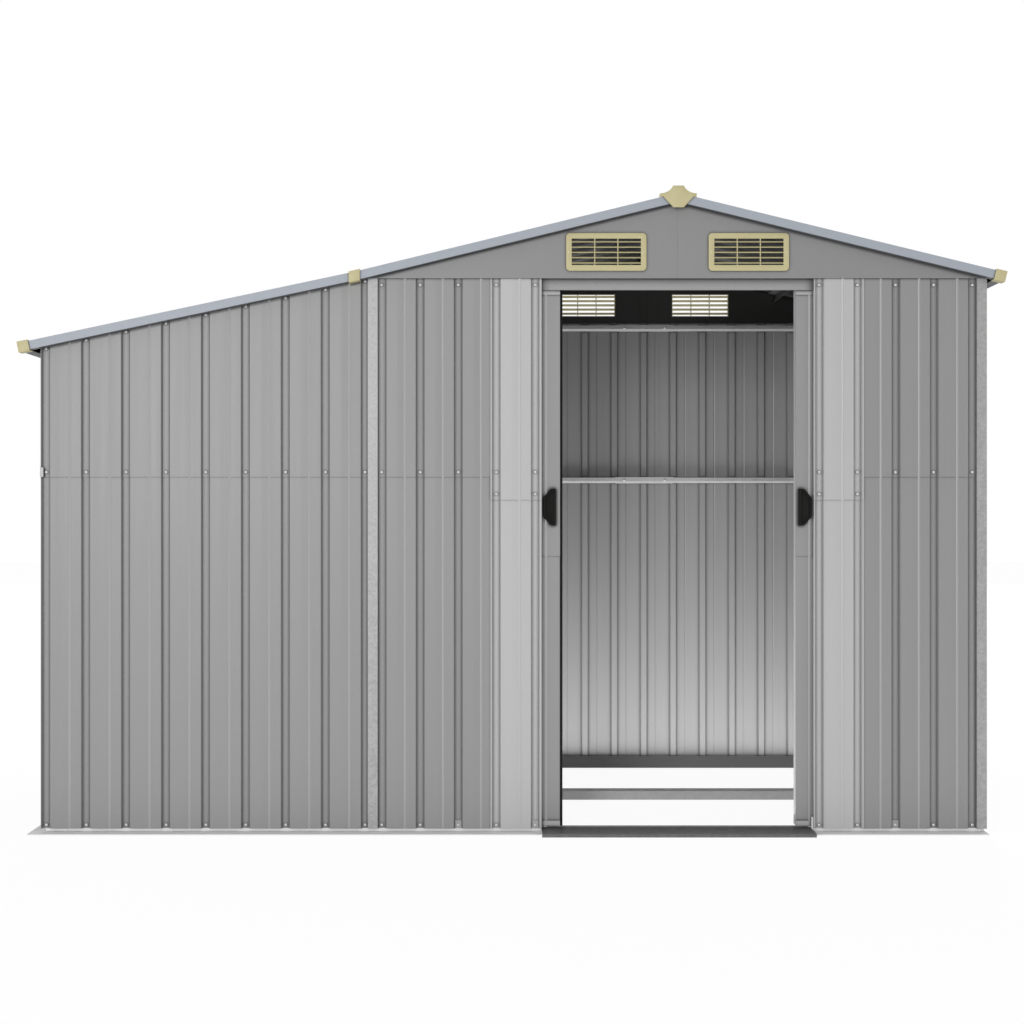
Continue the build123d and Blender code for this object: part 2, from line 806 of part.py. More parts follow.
def verge_trim(roof, side, start, end):
    """Channel along one roof edge; side is the sign of local x."""
    channel = [
        (side * (verge - trim_width), 0),
        (side * verge, 0),
        (side * verge, trim_height),
        (side * (half_depth + gable_proud + seat), trim_height),
    ]
    return folded(roof.offset(start), channel, end - start, side * trim_t)


apex_gap = trim_height * main_slope + seat
front_trims = [
    verge_trim(right_roof, 1, apex_gap, main_length),
    verge_trim(left_roof, -1, apex_gap, junction_length - seat),
    verge_trim(lean_roof, -1, junction_trim_gap, lean_length),
]
rear_trims = [
    verge_trim(right_roof, -1, apex_gap, main_length),
    verge_trim(left_roof, 1, apex_gap, junction_length - seat),
    verge_trim(lean_roof, 1, junction_trim_gap, lean_length),
]
save("verge_trims", *front_trims, *rear_trims)

# Eave trims between the verge trims
eave_half = verge - trim_width - seat


def eave_trim(roof, length, turn):
    """Channel along the low edge of a roof sheet."""
    plane = Plane(
        origin=roof.origin - Vector(0, turn * eave_half, 0),
        x_dir=roof.z_dir,
        z_dir=(0, turn, 0),
    )
    channel = [
        (length - trim_width, 0),
        (length, 0),
        (length, trim_height),
        (length - trim_width, trim_height),
    ]
    return folded(plane, channel, 2 * eave_half, trim_t)


save(
    "eave_trims",
    eave_trim(right_roof, main_length, 1),
    eave_trim(lean_roof, lean_length, -1),
)

# Cover strips over the ridge and over the joint with the lean-to roof
cover_half = eave_half


def cover_strip(centre, left_fall, right_fall):
    """Folded strip that lies on both roof sheets."""
    plane = Plane(origin=(centre[0], middle_y - cover_half, centre[1]), x_dir=(1, 0, 0), z_dir=(0, 1, 0))
    line = [
        (-cover_reach, cover_reach * left_fall),
        (0, 0),
        (cover_reach, cover_reach * right_fall),
    ]
    return folded(plane, line, 2 * cover_half, trim_t)


ridge_strip = cover_strip((ridge_x, ridge_height), main_slope, main_slope)
junction_strip = cover_strip((ridge_x - junction_run, junction_height), lean_slope, -main_slope)
save("roof_cover_strips", ridge_strip, junction_strip)

# Roof beams: one under the ridge and one under the middle of each slope
gable_inner_front = front_gable_back + seat
gable_inner_rear = rear_gable_back - seat
beam_length = gable_inner_rear - gable_inner_front


def ridge_section():
    """Channel under the ridge, open downwards."""
    plane = Plane(origin=(ridge_x, gable_inner_front, ridge_beam_top), x_dir=(1, 0, 0), z_dir=(0, 1, 0))
    half = beam_width / 2
    line = [(-half, beam_height), (-half, 0), (half, 0), (half, beam_height)]
    return folded(plane, line, beam_length, frame_t)


def purlin(roof, at, turn, start_y, length):
    """Angle lying under a roof sheet at a distance down the slope."""
    plane = Plane(
        origin=Vector(roof.origin.X, start_y if turn > 0 else start_y + length, roof.origin.Z),
        x_dir=roof.z_dir,
        z_dir=(0, turn, 0),
    )
    line = [
        (at - purlin_width / 2, roof_under),
        (at + purlin_width / 2, roof_under),
        (at + purlin_width / 2, roof_under + purlin_width),
    ]
    return folded(plane, line, length, frame_t)


lean_purlin_start = front_y + rib_depth + sheet_t - lift + 2 * seat
lean_purlin_length = depth - 2 * (rib_depth + sheet_t - lift + 2 * seat)
save(
    "roof_beams",
    ridge_section(),
    purlin(right_roof, main_length / 2, 1, gable_inner_front, beam_length),
    purlin(left_roof, main_length / 2, -1, gable_inner_front, beam_length),
    purlin(lean_roof, lean_length / 2, -1, lean_purlin_start, lean_purlin_length),
    junction_beam,
)


# Moulded caps at the roof's corners, junction and ridge
def corner_cap(roof, length, side):
    """Cap over the end of a verge trim, open towards the ridge and towards the wall."""
    low, high = -cap_rise, trim_height + cap_rise
    start = length - cap_length + cap_t
    end = length + seat + cap_t
    front = side * (verge + seat + cap_t)
    back = side * (verge - trim_width)
    with BuildPart() as cap:
        with BuildSketch(roof.offset(start)):
            with Locations(((front + back) / 2, (low + high) / 2)):
                Rectangle(abs(front - back), high - low)
        extrude(amount=end - start)
        with BuildSketch(roof.offset(start)):
            with Locations(((front + back) / 2 - side * cap_t, (low + high) / 2)):
                Rectangle(abs(front - back), trim_height + 2 * seat)
        extrude(amount=end - start - cap_t, mode=Mode.SUBTRACT)
    return cap.part


def junction_cap(outward):
    """Plate with turned top and bottom edges over the meeting of two verge trims."""
    half = cap_length / 2
    front = verge + seat
    back = verge - trim_width
    plane = Plane(
        origin=(ridge_x - junction_run, middle_y + outward * back, junction_height),
        x_dir=(1, 0, 0),
        z_dir=(0, outward, 0),
    )
    up = -outward
    rise = cap_rise
    top = [(-half, rise - half * lean_slope), (0, rise), (half, rise + half * main_slope)]
    bottom = [(x, z - trim_height - 2 * rise) for x, z in reversed(top)]
    reach = half + cap_air
    hole_top = [(-reach, cap_air - reach * lean_slope), (0, cap_air), (reach, cap_air + reach * main_slope)]
    hole_bottom = [(x, z - trim_height - 3 * cap_air) for x, z in reversed(hole_top)]
    with BuildPart() as cap:
        with BuildSketch(plane):
            with BuildLine():
                Polyline(*[(x, up * z) for x, z in top + bottom], close=True)
            make_face()
        extrude(amount=front - back + cap_t)
        with BuildSketch(plane):
            with BuildLine():
                Polyline(*[(x, up * z) for x, z in hole_top + hole_bottom], close=True)
            make_face()
        extrude(amount=front - back, mode=Mode.SUBTRACT)
    return cap.part


def ridge_cap(outward):
    """Bell-shaped plate in front of the trims, with a hood back over the ridge."""
    front = verge + seat
    hood_back = verge - trim_width
    up = -outward
    plane = Plane(
        origin=(ridge_x, middle_y + outward * front, ridge_height),
        x_dir=(1, 0, 0),
        z_dir=(0, outward, 0),
    )
    top, foot = up * ridge_cap_top, up * (ridge_cap_top - ridge_cap_height)
    left_tip, right_tip = (-ridge_cap_half, up * ridge_cap_tip), (ridge_cap_half, up * ridge_cap_tip)
    plate_edge = [right_tip, (ridge_cap_flat, foot), (-ridge_cap_flat, foot), left_tip]
    eave = up * (cap_air - ridge_cap_half * main_slope)
    hood_edge = [right_tip, (ridge_cap_half, eave), (0, up * cap_air), (-ridge_cap_half, eave), left_tip]
    shoulder_x = ridge_cap_flat + shoulder_out
    shoulder_y = up * (ridge_cap_top - shoulder_down)
    with BuildPart() as cap:
        for lower_edge, reach in ((plate_edge, cap_t), (hood_edge, hood_back - front)):
            with BuildSketch(plane):
                with BuildLine():
                    Polyline(*lower_edge)
                    ThreePointArc(left_tip, (-shoulder_x, shoulder_y), (-ridge_cap_flat, top))
                    Line((-ridge_cap_flat, top), (ridge_cap_flat, top))
                    ThreePointArc((ridge_cap_flat, top), (shoulder_x, shoulder_y), right_tip)
                make_face()
            extrude(amount=reach)
    return cap.part


for name, outward in (("front", -1), ("rear", 1)):
    save(
        f"{name}_roof_caps",
        corner_cap(right_roof, main_length, -outward),
        corner_cap(lean_roof, lean_length, outward),
        junction_cap(outward),
        ridge_cap(outward),
    )

# Small galvanised clips: in three ribs at the foot of the wall, and round the lean-to's corners
clip_width = rib_floor - 2 * seat
clips = []
for rib, raised in ((grey_left[2], 0), (grey_right[1], 0), (left_jamb_rib, lift)):
    with BuildPart() as clip:
        with BuildSketch(front_wall.offset(wall_foot)):
            with Locations((rib, rib_depth - raised - seat - sheet_t / 2)):
                Rectangle(clip_width, sheet_t)
        extrude(amount=clip_height)
    clips.append(clip.part)
clip_face = -lift - seat
corner_clip_outline = [
    (left_x + corner_clip_width, clip_face),
    (left_x - seat, clip_face),
    (left_x - seat, corner_clip_depth),
]
corner_clip = folded(front_wall.offset(wall_seam), corner_clip_outline, corner_clip_height, sheet_t)
save("wall_clips", *clips, corner_clip, mirror(corner_clip, about=mid_plane))


# Doors: ribbed sheets on two stiles, capped above and below, hung on glides
def door(name, lead_x, facing):
    """One door; lead_x is its leading edge and facing the direction it closes in."""
    tail_x = lead_x - facing * door_sheet_width
    low_x, high_x = min(lead_x, tail_x), max(lead_x, tail_x)
    middle_x = (low_x + high_x) / 2
    half_ribs = door_rib_pitch * (door_rib_count - 1) / 2
    ribs = spread(middle_x - half_ribs, middle_x + half_ribs, door_rib_pitch)
    door_plane = Plane(
        origin=(0, front_y + door_face, 0), x_dir=(1, 0, 0), z_dir=(0, 0, 1)
    )
    foot = door_foot + sheet_t + seat
    top = door_top - sheet_t - seat
    lower = pressed_sheet(
        door_plane, low_x, high_x, ribs, foot, door_seam + lap, edge_beads=True
    )
    upper = pressed_sheet(door_plane, low_x, high_x, ribs, door_seam, top, lift, edge_beads=True)
    save(f"{name}_sheets", lower, upper)

    stile_front = sheet_t + seat
    stiles = []
    for edge, turn in ((low_x, 1), (high_x, -1)):
        channel = [
            (edge + turn * stile_width, stile_front),
            (edge, stile_front),
            (edge, door_depth),
            (edge + turn * stile_width, door_depth),
        ]
        stiles.append(folded(door_plane.offset(foot), channel, top - foot, -turn * post_t))

    cap_front = -cap_proud
    cap_back = door_depth + seat + sheet_t
    cross = section_plane(door_plane, low_x)
    bottom_cap = [
        (cap_front, door_foot + door_cap_height),
        (cap_front, door_foot),
        (cap_back, door_foot),
        (cap_back, door_foot + door_cap_height),
    ]
    top_cap = [
        (cap_front, door_top - door_cap_height),
        (cap_front, door_top),
        (cap_back, door_top),
        (cap_back, door_top - door_cap_height),
    ]
    caps = (
        folded(cross, bottom_cap, high_x - low_x, sheet_t),
        folded(cross, top_cap, high_x - low_x, -sheet_t),
    )
    save(f"{name}_frame", *stiles, *caps)

    middle = door_depth / 2
    head_foot = track_lip_height + frame_t + slide_gap
    shoe_foot = frame_t + shoe_gap
    shoe_width = floor_track_width - 2 * frame_t - 2 * slide_gap
    glides = []
    for glide_x in (low_x + hanger_inset, high_x - hanger_inset):
        with BuildPart() as hanger:
            with BuildSketch(door_plane.offset(door_top)):
                with Locations((glide_x, middle)):
                    Rectangle(hanger_length, hanger_plate)
            extrude(amount=head_foot + head_sink - door_top)
            with BuildSketch(door_plane.offset(head_foot)):
                with Locations((glide_x, middle)):
                    Rectangle(hanger_length, track_slot + 2 * hanger_reach)
            extrude(amount=hanger_height)
        with BuildPart() as shoe:
            with BuildSketch(door_plane.offset(shoe_foot)):
                with Locations((glide_x, middle)):
                    Rectangle(hanger_length, shoe_width)
            extrude(amount=door_foot - shoe_foot)
        glides += [hanger.part, shoe.part]
    save(f"{name}_glides", *glides)


def handle(name, jamb_x, facing):
    """Black pull: straight towards the opening, corners cut off towards the jamb, a finger well."""
    grip = Plane(
        origin=(jamb_x + facing * run_gap, front_y + door_face - lift - bead_height - seat, handle_centre),
        x_dir=(1, 0, 0),
        z_dir=(0, -1, 0),
    )
    high = handle_height / 2
    slant = handle_width - handle_flat
    corners = [
        (0, handle_cut - high),
        (0, high - handle_cut),
        (facing * slant, high),
        (facing * handle_width, high),
        (facing * handle_width, -high),
        (facing * slant, -high),
    ]
    with BuildPart() as pull:
        with BuildSketch(grip) as outline:
            with BuildLine():
                Polyline(*corners, close=True)
            make_face()
            cut_corners = outline.vertices().filter_by(lambda corner: abs(corner.X) < slant + seat)
            fillet(cut_corners, radius=handle_round)
        extrude(amount=handle_depth)
        front_face = pull.faces().sort_by(Axis.Y)[0]
        chamfer(front_face.outer_wire().edges(), length=handle_chamfer)
        with BuildSketch(grip.offset(handle_floor)):
            with BuildLine():
                Polyline(*corners, close=True)
            make_face()
            offset(amount=-handle_rim, kind=Kind.INTERSECTION, mode=Mode.REPLACE)
        extrude(amount=handle_depth, mode=Mode.SUBTRACT)
    save(f"{name}_handle", pull.part)


left_lead = doorway_left + left_door_shows
right_lead = doorway_right - right_door_shows
door("left_door", left_lead, 1)
door("right_door", right_lead, -1)
handle("left_door", doorway_left, 1)
handle("right_door", doorway_right, -1)

# Rubber seal on the left door's leading edge
with BuildPart() as seal:
    seal_plane = Plane(
        origin=(left_lead, front_y + door_face, door_foot), x_dir=(1, 0, 0), z_dir=(0, 0, 1)
    )
    crown_start = (seal_width - seal_crown, seal_front)
    crown_middle = (seal_width, (seal_front + seal_back) / 2)
    crown_end = (seal_width - seal_crown, seal_back)
    with BuildSketch(seal_plane):
        with BuildLine():
            Line((seat, seal_front), crown_start)
            ThreePointArc(crown_start, crown_middle, crown_end)
            Polyline(crown_end, (seat, seal_back), (seat, seal_front))
        make_face()
    extrude(amount=door_top - door_foot)
save("left_door_seal", seal.part)
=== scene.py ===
# %% [markdown]
# # Dressing a metal storage shed
# A small steel shed is mostly one idea repeated: thin sheets with ribs pressed into them, screwed
# to a light frame of folded strip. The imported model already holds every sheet, post and moving
# door at its real size. This lesson adds what a model made for fit and motion doesn't hold: the
# paint, the zinc, the moulded plastic, the screws, and the light that lets them be told apart.
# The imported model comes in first, and nothing in it is moved or resized afterwards.

# %% Load the shed
import math

import bmesh
import bpy
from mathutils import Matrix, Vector
from mathutils.bvhtree import BVHTree


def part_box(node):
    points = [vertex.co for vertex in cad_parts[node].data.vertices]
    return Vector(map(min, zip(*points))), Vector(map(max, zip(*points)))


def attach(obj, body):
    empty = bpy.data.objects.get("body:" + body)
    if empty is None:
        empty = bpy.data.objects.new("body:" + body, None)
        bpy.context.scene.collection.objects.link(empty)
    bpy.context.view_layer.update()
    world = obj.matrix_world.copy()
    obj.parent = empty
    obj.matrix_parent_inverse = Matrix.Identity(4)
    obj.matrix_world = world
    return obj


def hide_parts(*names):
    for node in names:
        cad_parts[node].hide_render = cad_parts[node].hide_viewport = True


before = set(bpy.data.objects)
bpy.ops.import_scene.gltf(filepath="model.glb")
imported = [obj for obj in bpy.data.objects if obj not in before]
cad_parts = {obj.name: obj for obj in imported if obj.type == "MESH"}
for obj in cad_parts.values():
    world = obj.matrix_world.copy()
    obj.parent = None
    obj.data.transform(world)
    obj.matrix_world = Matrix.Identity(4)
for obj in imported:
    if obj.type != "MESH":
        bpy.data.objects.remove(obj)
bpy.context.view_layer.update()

# %% [markdown]
# ## Where the camera stands
# The picture is a straight front view: upright edges stay upright, and the lines that run back
# into the shed meet in the middle of the frame at eye height. So the camera looks level along +Y,
# and its lens has a view of 45 degrees. Its distance decides how much smaller the rear wall looks
# through the doorway, and its height decides how much of the base flange can be seen.

# %% Camera
camera_distance = 3.77
camera_height = 0.978
view_angle = math.radians(45)
sensor_width = 36.0

front_wall_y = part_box("front_lean_lower")[0].y

lens = bpy.data.cameras.new("front_camera")
lens.sensor_width = sensor_width
lens.lens = sensor_width / (2 * math.tan(view_angle / 2))
lens.clip_end = 200
camera = bpy.data.objects.new("front_camera", lens)
camera.location = (0, front_wall_y - camera_distance, camera_height)
camera.rotation_euler = (math.pi / 2, 0, 0)
bpy.context.scene.collection.objects.link(camera)
bpy.context.scene.camera = camera
bpy.context.scene.view_settings.view_transform = "Standard"
print("lens", round(lens.lens, 3), "mm, front wall at y", round(front_wall_y, 4))

# %% [markdown]
# ## Shader maths that reads like arithmetic
# A node tree of plain arithmetic is long to write link by link. Two small classes make it short.
# `Wire` stands for one output of a node, and adding or multiplying wires adds Math nodes.
# `Paint` holds one material, and its `add` method makes any other node: the settings first, then
# the values or wires of its sockets.

# %% Wires and paints


class Wire:
    """One output of a shader node. Arithmetic on it adds Math nodes to the same tree."""

    def __init__(self, paint, socket):
        self.paint = paint
        self.socket = socket

    def _maths(self, operation, first, second):
        return self.paint.add("ShaderNodeMath", {"operation": operation}, {0: first, 1: second})

    def __add__(self, other):
        return self._maths("ADD", self, other)

    __radd__ = __add__

    def __sub__(self, other):
        return self._maths("SUBTRACT", self, other)

    def __rsub__(self, other):
        return self._maths("SUBTRACT", other, self)

    def __mul__(self, other):
        return self._maths("MULTIPLY", self, other)

    __rmul__ = __mul__

    def above(self, limit):
        """1 where the value is over the limit and 0 elsewhere."""
        return self._maths("GREATER_THAN", self, limit)


class Paint:
    """A material with an empty node tree, filled by its add method."""

    def __init__(self, name):
        self.material = bpy.data.materials.new(name)
        self.material.use_nodes = True
        self.tree = self.material.node_tree
        self.tree.nodes.clear()

    def add(self, kind, settings=None, inputs=None, output=0):
        """Any node: its settings are set first, then its sockets get values or wires."""
        node = self.tree.nodes.new(kind)
        for key, value in (settings or {}).items():
            setattr(node, key, value)
        for key, value in (inputs or {}).items():
            if isinstance(value, Wire):
                self.tree.links.new(value.socket, node.inputs[key])
            else:
                node.inputs[key].default_value = value
        return Wire(self, node.outputs[output])

    def finish(self, shader):
        """Joins a shader to the material's output."""
        output = self.tree.nodes.new("ShaderNodeOutputMaterial")
        self.tree.links.new(shader.socket, output.inputs["Surface"])
        return self.material


print("shader helpers ready")

# %% [markdown]
# ## Colours, written as they are seen
# Colours are easier to judge on the 0 to 255 scale of a picture, but a shader wants them in linear
# light. `seen` turns a seen colour into a linear one, once, so the numbers below stay readable.

# %% Colour helpers


def seen(red, green, blue):
    """Linear colour of a screen colour given from 0 to 255."""
    channels = []
    for value in (red, green, blue):
        share = value / 255
        channels.append(share / 12.92 if share <= 0.04045 else ((share + 0.055) / 1.055) ** 2.4)
    return (*channels, 1.0)


def scaled(colour, factor):
    """A colour made lighter or darker."""
    return (colour[0] * factor, colour[1] * factor, colour[2] * factor, 1.0)


def blended(paint, factor, first, second):
    """Mix node on two colours; Math nodes would turn them grey."""
    colour_a, colour_b, colour_result = 6, 7, 2
    return paint.add(
        "ShaderNodeMix",
        {"data_type": "RGBA"},
        {0: factor, colour_a: first, colour_b: second},
        colour_result,
    )


def place(paint):
    """Object coordinates: metres in the shed's own frame."""
    return paint.add("ShaderNodeTexCoord", output="Object")


def noise(paint, where, scale, detail=2.0, roughness=0.5):
    """Soft random values from 0 to 1, with the scale in waves a metre."""
    settings = {"Vector": where, "Scale": scale, "Detail": detail, "Roughness": roughness}
    return paint.add("ShaderNodeTexNoise", None, settings)


def stretched(paint, where, along_x, along_y, along_z):
    """Coordinates scaled a different amount each way, to draw a pattern out into streaks."""
    scale = (along_x, along_y, along_z)
    return paint.add("ShaderNodeMapping", None, {"Vector": where, "Scale": scale})


print("seen grey 155 is", round(seen(155, 155, 155)[0], 3), "in linear light")

# %% [markdown]
# ## Coil-coated sheet
# The walls are steel strip, zinc coated and painted by roller in the mill before it is pressed.
# Such paint is very even: it has a faint cloudiness, faint streaks along the rolling direction,
# an orange-peel skin a fraction of a millimetre deep, and pans that aren't quite flat, so that
# soft reflections waver. Three things more make it read as a shed and not as a drawing of one.
# The rib edges and the laps are darker where an Ambient Occlusion node finds little open space:
# painted shade, with a little grime. The fine raised beads are the only faces that lean a little,
# so their normals tell where they are, and they get a painted highlight. And the back of the
# strip takes another colour than its face: backing paint on the walls, painted shade on the
# gables, the roof and the trims. A point is on the back when its normal points the way the
# shed's middle lies, which for a wall is told by the sign of normal times place, taken across it.

# %% Painted sheet
crevice_reach = 0.011
crevice_gain = 2.6
crevice_shade = 0.16
bead_lean = 0.6, 0.98
bead_highlight_gain = 1.3
front_to_rear, side_to_side, up_and_down = (0, 1, 0), (1, 0, 0), (0, 0, 1)


def part_along(paint, vector, direction):
    """Dot product of a vector and a direction, as a value."""
    settings = {"operation": "DOT_PRODUCT"}
    return paint.add("ShaderNodeVectorMath", settings, {0: vector, 1: direction}, "Value")


def in_crevices(paint, reach, gain):
    """1 deep in corners and laps, 0 in the open: the mask for painted shade."""
    openness = paint.add("ShaderNodeAmbientOcclusion", {"samples": 4}, {"Distance": reach}, "AO")
    settings = {"operation": "MULTIPLY", "use_clamp": True}
    return paint.add("ShaderNodeMath", settings, {0: 1 - openness, 1: gain})


def sheet_paint(
    name, colour, gloss=0.42, streak=0.05, highlight_gain=bead_highlight_gain, reach=crevice_reach, back=None,
    across=front_to_rear,
):
    """Painted steel with painted shade in crevices and a painted highlight on beads; the back colour shows on
    the side that faces into the shed.
    """
    paint = Paint(name)
    where = place(paint)
    cloud = noise(paint, where, 2.3, 3.0)
    rolled = noise(paint, stretched(paint, where, 90, 90, 1.2), 1.0, 2.0)
    tone = cloud * 0.5 + rolled * 0.5
    face = blended(paint, tone, scaled(colour, 1 - streak), scaled(colour, 1 + streak))
    # Painted shade, with a little grime: crevices and laps turn towards crevice_shade.
    shade_and_dust = in_crevices(paint, reach, crevice_gain)
    face = blended(paint, shade_and_dust, face, scaled(colour, crevice_shade))
    facing = part_along(paint, paint.add("ShaderNodeNewGeometry", output="Normal"), across)
    flatness = facing * facing
    # Painted highlight: the raised beads, whose normals lean a little, are painted lighter.
    bead_highlight_mask = flatness.above(bead_lean[0]) - flatness.above(bead_lean[1])
    face = blended(paint, bead_highlight_mask, face, scaled(colour, highlight_gain))
    # The back colour: backing paint on the walls, painted shade on the gables, the roof and the trims.
    if back:
        outward = facing * part_along(paint, where, across)
        back_coat_and_shade = blended(paint, tone, scaled(back, 1 - streak), scaled(back, 1 + streak))
        back_coat_and_shade = blended(paint, shade_and_dust, back_coat_and_shade, scaled(back, crevice_shade))
        face = blended(paint, outward.above(-0.04), back_coat_and_shade, face)
    peel = noise(paint, where, 900, 1.0)
    waver = noise(paint, stretched(paint, where, 7, 7, 2.2), 1.0, 1.0)
    skin = paint.add("ShaderNodeBump", None, {"Strength": 0.06, "Distance": 0.0003, "Height": peel})
    waves = paint.add(
        "ShaderNodeBump",
        None,
        {"Strength": 0.25, "Distance": 0.004, "Height": waver, "Normal": skin},
    )
    shader = paint.add(
        "ShaderNodeBsdfPrincipled",
        None,
        {
            "Base Color": face,
            "Roughness": rolled * 0.16 + (gloss - 0.08),
            "Coat Weight": 0.08,
            "Coat Roughness": 0.3,
            "Normal": waves,
        },
    )
    return paint.finish(shader)


grey = seen(145, 145, 145)
backing = seen(133, 133, 133)
# Painted shade: the near-black back of the gables and the roof stands for the shade above the top girt and under
# the roof.
painted_shade_backing = seen(44, 44, 43)
wall_paint = sheet_paint("grey_wall_paint", grey, back=backing)
side_paint = sheet_paint("grey_side_paint", grey, back=backing, across=side_to_side)
pale_paint = sheet_paint(
    "pale_wall_paint", seen(186, 186, 186), streak=0.025, highlight_gain=1.0, back=backing
)
gable_paint = sheet_paint("grey_gable_paint", seen(139, 139, 139), streak=0.03, back=painted_shade_backing)
roof_paint = sheet_paint(
    "grey_roof_paint", seen(150, 151, 152), back=painted_shade_backing, across=up_and_down
)
door_paint = sheet_paint("grey_door_paint", seen(149, 149, 149))
door_trim_paint = sheet_paint("door_cap_paint", seen(180, 180, 180), streak=0.025)
# Painted shadow: the header's wider reach darkens its top, where the gable above overhangs it.
header_paint = sheet_paint("grey_header_paint", seen(156, 156, 156), streak=0.03, reach=0.028)
# Painted shade: the trims' dark back colour darkens their undersides.
trim_paint = sheet_paint(
    "blue_grey_trim_paint", seen(166, 172, 181), gloss=0.55, streak=0.02,
    back=seen(92, 94, 97), across=up_and_down,
)
print("painted sheets:", sum(1 for m in bpy.data.materials if m.name.endswith("_paint")))

# %% [markdown]
# ## Zinc with its spangle
# Hot-dip galvanised strip freezes into a patchwork of crystals, each with its own brightness. A
# Voronoi pattern gives such cells: one random grey for each cell, a little difference in gloss,
# and a second, finer set inside the first so that the edges don't look drawn. The posts show the
# bright fresh kind, the hidden rails a duller one.

# %% Galvanised steel


def zinc(
    name, colour, crystal=0.007, contrast=0.14, metallic=0.35, gloss=0.42, inside=None, painted_shade_ramp=None
):
    """Spangled zinc; painted shade can darken faces that look into the shed, and a painted ramp can run from
    shade at the back to light at the front.
    """
    paint = Paint(name)
    where = place(paint)
    coarse = paint.add("ShaderNodeTexVoronoi", None, {"Vector": where, "Scale": 1 / crystal}, "Color")
    fine = paint.add("ShaderNodeTexVoronoi", None, {"Vector": where, "Scale": 2.7 / crystal}, "Color")
    coarse = paint.add("ShaderNodeSeparateColor", None, {"Color": coarse})
    fine = paint.add("ShaderNodeSeparateColor", None, {"Color": fine})
    cloud = noise(paint, where, 9.0, 3.0)
    tone = coarse * 0.45 + fine * 0.25 + cloud * 0.3
    face = blended(paint, tone, scaled(colour, 1 - contrast), scaled(colour, 1 + contrast))
    # Painted shade: faces that look into the shed take the darker inside colour.
    if inside:
        normal = paint.add("ShaderNodeNewGeometry", output="Normal")
        outward = part_along(paint, normal, front_to_rear) * part_along(paint, where, front_to_rear)
        inner_shade = blended(paint, tone, scaled(inside, 1 - contrast), scaled(inside, 1 + contrast))
        face = blended(paint, outward.above(-0.04), inner_shade, face)
    # Painted shade: a ramp from the given colour at the back to the lighter one at the front.
    if painted_shade_ramp:
        start, depth, bright = painted_shade_ramp
        shade_ramp_mask = (start - part_along(paint, where, front_to_rear)) * (1 / depth)
        bright = blended(paint, tone, scaled(bright, 1 - contrast / 3), scaled(bright, 1 + contrast / 3))
        face = blended(paint, shade_ramp_mask, face, bright)
    grain = noise(paint, where, 1400, 1.0)
    skin = paint.add("ShaderNodeBump", None, {"Strength": 0.05, "Distance": 0.0002, "Height": grain})
    shader = paint.add(
        "ShaderNodeBsdfPrincipled",
        None,
        {
            "Base Color": face,
            "Metallic": metallic,
            "Roughness": coarse * 0.14 + (gloss - 0.07),
            "Normal": skin,
        },
    )
    return paint.finish(shader)


post_zinc = zinc("bright_post_zinc", seen(163, 163, 163), contrast=0.24, metallic=0.2)
rail_zinc = zinc("dull_rail_zinc", seen(166, 166, 166), crystal=0.010, contrast=0.10)
# Painted shade: the base rails are pale on their outer faces and darker on the faces that look into the shed.
base_zinc = zinc(
    "base_flange_zinc", seen(243, 243, 243), contrast=0.04, metallic=0.0, gloss=0.5,
    inside=seen(108, 108, 108),
)
dim_zinc = zinc("shaded_rail_zinc", seen(92, 92, 91), crystal=0.010, contrast=0.15, metallic=0.2)
sill_low, sill_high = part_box("door_sill")
# Painted shade on the sill: dark at its back under the doorway, lighter towards its front edge.
sill_zinc = zinc(
    "worn_sill_zinc", seen(52, 52, 52), crystal=0.012, contrast=0.8, metallic=0.15,
    painted_shade_ramp=(sill_low.y + 0.075, 0.075, seen(108, 108, 108)),
)
print("zinc finishes:", sum(1 for m in bpy.data.materials if m.name.endswith("_zinc")))

# %% [markdown]
# ## Moulded plastic, rubber and nylon
# The caps and vents are moulded in one tan colour all through, so they get no paint edge and no
# streaks: a matt skin with a fine spark-eroded texture, and a slightly lighter tone where the
# melt cooled last. The pulls are the same kind of plastic in black. The seal is rubber, dull and
# a little dusty, and the glides are milky nylon.

# %% Moulded finishes


def moulded(name, colour, gloss=0.5, texture=0.12, variation=0.035, shine=0.5):
    """Moulded plastic or rubber with a fine eroded skin."""
    paint = Paint(name)
    where = place(paint)
    flow = noise(paint, where, 26.0, 2.0)
    face = blended(paint, flow, scaled(colour, 1 - variation), scaled(colour, 1 + variation))
    grain = noise(paint, where, 1600, 2.0, 0.6)
    skin = paint.add(
        "ShaderNodeBump",
        None,
        {"Strength": texture, "Distance": 0.0003, "Height": grain},
    )
    shader = paint.add(
        "ShaderNodeBsdfPrincipled",
        None,
        {
            "Base Color": face,
            "Roughness": flow * 0.12 + (gloss - 0.06),
            "Specular IOR Level": shine,
            "Normal": skin,
        },
    )
    return paint.finish(shader)


tan_plastic = moulded("tan_plastic", seen(198, 189, 145))
black_plastic = moulded("black_plastic", seen(24, 24, 23), gloss=0.6, variation=0.1, shine=0.12)
seal_rubber = moulded("seal_rubber", seen(24, 24, 24), gloss=0.7, variation=0.15, shine=0.1)
nylon = moulded("milky_nylon", seen(222, 222, 216), gloss=0.35)
washer_grey = moulded("grey_washer_plastic", seen(172, 172, 172), gloss=0.3, texture=0.05)
head_zinc = zinc(
    "screw_head_zinc", seen(250, 250, 250), crystal=0.002, contrast=0.04, metallic=0.1, gloss=0.3
)
head_cream = moulded("cream_screw_head", seen(232, 226, 190), gloss=0.35, texture=0.05)
slot_dark = moulded("screw_slot_shadow", seen(150, 150, 150), gloss=0.6)
print("moulded finishes:", tan_plastic.name, black_plastic.name, seal_rubber.name, nylon.name)

# %% [markdown]
# ## Who wears what
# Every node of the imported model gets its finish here, in one table, so that a change of colour is
# one edit. Front and rear walls share a paint, and the side walls have their own only because
# their backs face another way.

